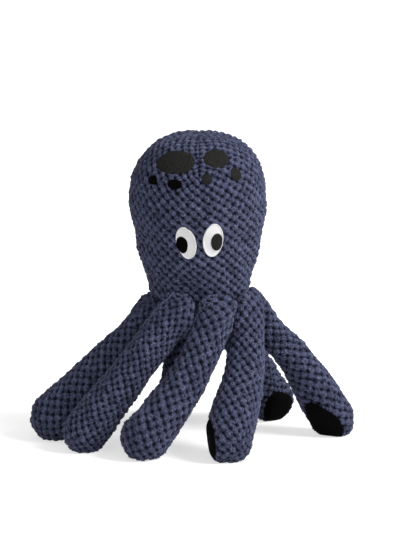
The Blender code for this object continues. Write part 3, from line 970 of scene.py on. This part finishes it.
def sewn_pile(name, leg, cover, seed):
    """Height and tone of a leg's pile, drawn in at its seams, with the seams' ridges, whose tone is raised
    as a painted highlight.
    """
    bar, smooth = bar_of(cover), points_of(cover)
    share, direction = along_leg(bar)
    corners = np.empty(len(cover.data.loops), int)
    cover.data.loops.foreach_get("vertex_index", corners)
    panels = np.where(bar[corners, 1].reshape(-1, 4).mean(axis=1) > 0, 0, 1)
    flat = flat_cloth(cover, panels, bar[:, 2])
    height, tone = tufts(flat, math.radians(leg.bias), seed, leg.stretch)
    from_seam = np.abs(direction[:, 1]) * (ROOT_RADIUS + (FOOT_RADIUS - ROOT_RADIUS) * share)
    from_sole = np.where(share < 0.5, FOOT_RADIUS, 0.0) + np.abs(leg.past_sole(smooth))
    height *= SEAM_HOLD + (1 - SEAM_HOLD) * smooth_share(np.minimum(from_seam, from_sole), 0.0, SEAM_WIDTH)
    proud = (1 - share) * (name in PROUD_HIGHLIGHTED_SEAMS)
    ridge = SEAM_RIDGE + (PROUD_RIDGE - SEAM_RIDGE) * proud
    ridge *= np.clip(1 - (from_seam / SEAM_RIDGE_WIDTH) ** 2, 0, 1) * (from_sole > SEAM_WIDTH)
    # Painted highlight: where a seam's ridge stands above the tufts, its tone is raised to the top of the
    # tufts' range, and far past it on the proud seams.
    tone = np.where(ridge > height, 1 + (PAINTED_SEAM_HIGHLIGHT - 1) * proud, tone)
    return np.maximum(height, ridge), tone


def lay_pile(leg, cover, height):
    """Lifts a leg's cover by its pile, clear of the head and the floor, and cuts it off at the sole."""
    smooth, normals = points_of(cover), normals_of(cover)
    share, _ = along_leg(bar_of(cover))
    out = pile_lift(height, smooth) - SHOULDER_PRESSED * hump(share, 0.0, SHOULDER_SHARE)
    for index in np.nonzero((share < NEAR_HEAD_SHARE) & (smooth[:, 2] > HEAD_BASE - NEAR_HEAD))[0]:
        hit, outward, _, _ = head_tree.find_nearest(Vector(smooth[index]))
        clear = (Vector(smooth[index]) - hit).dot(outward) - HEAD_CLEARANCE
        out[index] = min(out[index], clear)
    past = leg.past_sole(smooth)
    under = past > 0
    points = smooth + normals * (out * ~under)[:, None]
    points -= leg.sole_out * (past + BEHIND_SOLE)[:, None] * under[:, None]
    points[:, 2] = np.maximum(points[:, 2], OFF_FLOOR)
    set_points(cover, points)


def stuff_leg(name, leg):
    """The body of fill inside a leg's cover, flat behind the sole and clear of the floor."""
    fill = square_bar(f"{name}_fill", LEG_FACES_ACROSS, LEG_FACES_LONGER)
    places = leg.points(bar_of(fill))
    set_points(fill, places)
    places = places - normals_of(fill) * FILL_INSET
    past = leg.past_sole(places) + FILL_BEHIND_SOLE
    places -= leg.sole_out * np.maximum(past, 0)[:, None]
    places[:, 2] = np.maximum(places[:, 2], FILL_OFF_FLOOR)
    set_points(fill, places)
    return fill


leg_forms = []
for number, (name, leg, cover) in enumerate(leg_parts):
    leg_forms.append((name, leg, BVHTree.FromPolygons(
        [Vector(point) for point in points_of(cover)], [face.vertices[:] for face in cover.data.polygons]
    )))
    height, tone = sewn_pile(name, leg, cover, seed=11 + number)
    lay_pile(leg, cover, height)
    finish_fleece(cover, height, tone)
    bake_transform(cover)
    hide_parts(f"{name}_upper_panel", f"{name}_under_panel")

    fill = stuff_leg(name, leg)
    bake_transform(fill)
    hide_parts(f"{name}_stuffing")
    finish_fill(fill)


# Soles
# A black oval of short-pile fleece on the inner side of each foot, sewn into the end of the leg's cover
# and lightly crowned by the stuffing behind it.

SOLE_CROWN_REACH = 0.0065
SOLE_CROWN_POWER = 1.6
SOLE_SINK = 0.0003
SOLE_OVERLAP = 0.0006
SOLE_POINTS = 96
SOLE_RINGS = 14
RING_POWER = 1.3
# How far out the rays start that find the cut edge of the leg's cover
OUTSIDE = 0.05


def sole_fleece():
    made, nodes, links, shader = new_material("sole_fleece")
    place = nodes.new("ShaderNodeTexCoord")
    nap = nodes.new("ShaderNodeTexNoise")
    nap.inputs["Scale"].default_value = 1500.0
    nap.inputs["Detail"].default_value = 3.0
    links.new(place.outputs["Object"], nap.inputs["Vector"])
    ramp = colour_steps(nodes, ((0.3, (0.0012, 0.0012, 0.0014)), (0.75, (0.006, 0.006, 0.0065))))
    links.new(nap.outputs["Fac"], ramp.inputs["Fac"])
    links.new(ramp.outputs["Color"], shader.inputs["Base Color"])
    bump = nodes.new("ShaderNodeBump")
    bump.inputs["Strength"].default_value = 0.6
    bump.inputs["Distance"].default_value = 0.0004
    links.new(nap.outputs["Fac"], bump.inputs["Height"])
    links.new(bump.outputs["Normal"], shader.inputs["Normal"])
    shader.inputs["Roughness"].default_value = 0.95
    shader.inputs["Specular IOR Level"].default_value = 0.02
    return made


SOLE_FLEECE = sole_fleece()
for name, leg, tree in leg_forms:
    middle, out = Vector(leg.sole_middle), Vector(leg.sole_out)
    right = Vector((0.0, 0.0, 1.0)).cross(out).normalized()
    up = out.cross(right)
    sole, angle, ring = ringed_disc(f"{name}_sole_fleece", SOLE_POINTS, SOLE_RINGS)
    edge = []
    for turn in np.arange(SOLE_POINTS) * 2 * math.pi / SOLE_POINTS:
        way = right * math.cos(turn) + up * math.sin(turn)
        _, _, _, away = tree.ray_cast(middle + way * OUTSIDE, -way)
        edge.append(OUTSIDE - away + SOLE_OVERLAP)
    reach = np.array(edge)[np.round(angle * SOLE_POINTS / (2 * math.pi)).astype(int) % SOLE_POINTS]
    inset = reach * (ring / SOLE_RINGS) ** RING_POWER
    lift = SOLE_CROWN * (1 - (1 - np.clip(inset / SOLE_CROWN_REACH, 0, 1)) ** SOLE_CROWN_POWER)
    out_from_middle = (reach - inset) * (ring < SOLE_RINGS)
    lift[ring == SOLE_RINGS] = SOLE_CROWN
    places = np.array(middle) + (
        np.outer(out_from_middle * np.cos(angle), right) + np.outer(out_from_middle * np.sin(angle), up)
        + np.outer(lift - SOLE_SINK, out)
    )
    places[:, 2] = np.maximum(places[:, 2], 0.0)
    set_points(sole, places)
    sole.data.materials.append(SOLE_FLEECE)
    sole.data.shade_smooth()
    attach(sole, name)
    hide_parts(f"{name}_sole")


# Floor, light and camera
# A white studio sweep under broad soft light, seen by a long lens from a little above.

bpy.ops.object.select_all(action="DESELECT")
bpy.ops.mesh.primitive_plane_add(size=24.0)
floor = bpy.context.object
floor.name = "floor"
white, nodes, links, shader = new_material("white_sweep")
shader.inputs["Base Color"].default_value = (0.94, 0.935, 0.93, 1.0)
shader.inputs["Roughness"].default_value = 1.0
shader.inputs["Specular IOR Level"].default_value = 0.0
# Seen by the camera, the floor glows more and more with its distance, as an overlit sweep does.
place = nodes.new("ShaderNodeTexCoord")
away = nodes.new("ShaderNodeVectorMath")
away.operation = "LENGTH"
links.new(place.outputs["Object"], away.inputs[0])
sweep = nodes.new("ShaderNodeMapRange")
sweep.interpolation_type = "SMOOTHSTEP"
sweep.inputs["From Min"].default_value = 0.12
sweep.inputs["From Max"].default_value = 0.34
sweep.inputs["To Min"].default_value = 0.60
sweep.inputs["To Max"].default_value = 0.95
links.new(away.outputs["Value"], sweep.inputs["Value"])
ray = nodes.new("ShaderNodeLightPath")
seen = nodes.new("ShaderNodeMath")
seen.operation = "MAXIMUM"
links.new(ray.outputs["Is Camera Ray"], seen.inputs[0])
links.new(ray.outputs["Is Glossy Ray"], seen.inputs[1])
glow = nodes.new("ShaderNodeMath")
glow.operation = "MULTIPLY"
links.new(seen.outputs["Value"], glow.inputs[0])
links.new(sweep.outputs["Result"], glow.inputs[1])
shader.inputs["Emission Color"].default_value = (1.0, 1.0, 1.0, 1.0)
links.new(glow.outputs["Value"], shader.inputs["Emission Strength"])
floor.data.materials.append(white)

world = bpy.data.worlds.new("studio")
bpy.context.scene.world = world
world.use_nodes = True
world_nodes, world_links = world.node_tree.nodes, world.node_tree.links
sky = world_nodes["Background"]
sky.inputs["Color"].default_value = (1.0, 1.0, 1.0, 1.0)
sky_ray = world_nodes.new("ShaderNodeLightPath")
sky_seen = world_nodes.new("ShaderNodeMath")
sky_seen.operation = "MAXIMUM"
world_links.new(sky_ray.outputs["Is Camera Ray"], sky_seen.inputs[0])
world_links.new(sky_ray.outputs["Is Glossy Ray"], sky_seen.inputs[1])
level = world_nodes.new("ShaderNodeMapRange")
level.inputs["To Min"].default_value = 0.27
level.inputs["To Max"].default_value = 1.0
world_links.new(sky_seen.outputs["Value"], level.inputs["Value"])
world_links.new(level.outputs["Result"], sky.inputs["Strength"])

LAMPS_AIM = Vector((0.0, 0.0, 0.12))
for name, place, size, power in (
    ("key", (1.6, -0.8, 1.6), 0.9, 45.0),
    ("fill", (-0.4, -2.2, 0.9), 1.6, 8.5),
):
    lamp = bpy.data.lights.new(name, "AREA")
    lamp.size = size
    lamp.energy = power
    holder = bpy.data.objects.new(name, lamp)
    holder.location = place
    holder.rotation_euler = (LAMPS_AIM - Vector(place)).to_track_quat("-Z", "Y").to_euler()
    bpy.context.scene.collection.objects.link(holder)

# The picture's pixels, metres a pixel at the head's axis, the camera's rise, and the pixels of that axis
# on the floor
PICTURE = (400, 533)
SCALE = 0.00085
RISE = math.radians(12)
AXIS_PX = (199.0, 440.0)
LENS = 800.0
lens = bpy.data.cameras.new("camera")
lens.lens = LENS
camera = bpy.data.objects.new("camera", lens)
bpy.context.scene.collection.objects.link(camera)
bpy.context.scene.camera = camera
right_of_axis = (PICTURE[0] / 2 - AXIS_PX[0]) * SCALE
over_floor = (AXIS_PX[1] - PICTURE[1] / 2) * SCALE / math.cos(RISE)
aim = Vector((HEAD_AXIS.x + right_of_axis, HEAD_AXIS.y, over_floor))
looking = Vector((0.0, math.cos(RISE), -math.sin(RISE)))
camera.location = aim - looking * (PICTURE[1] * SCALE / 2) / (lens.sensor_width / 2 / LENS)
camera.rotation_euler = looking.to_track_quat("-Z", "Y").to_euler()
bpy.context.scene.view_settings.view_transform = "Standard"
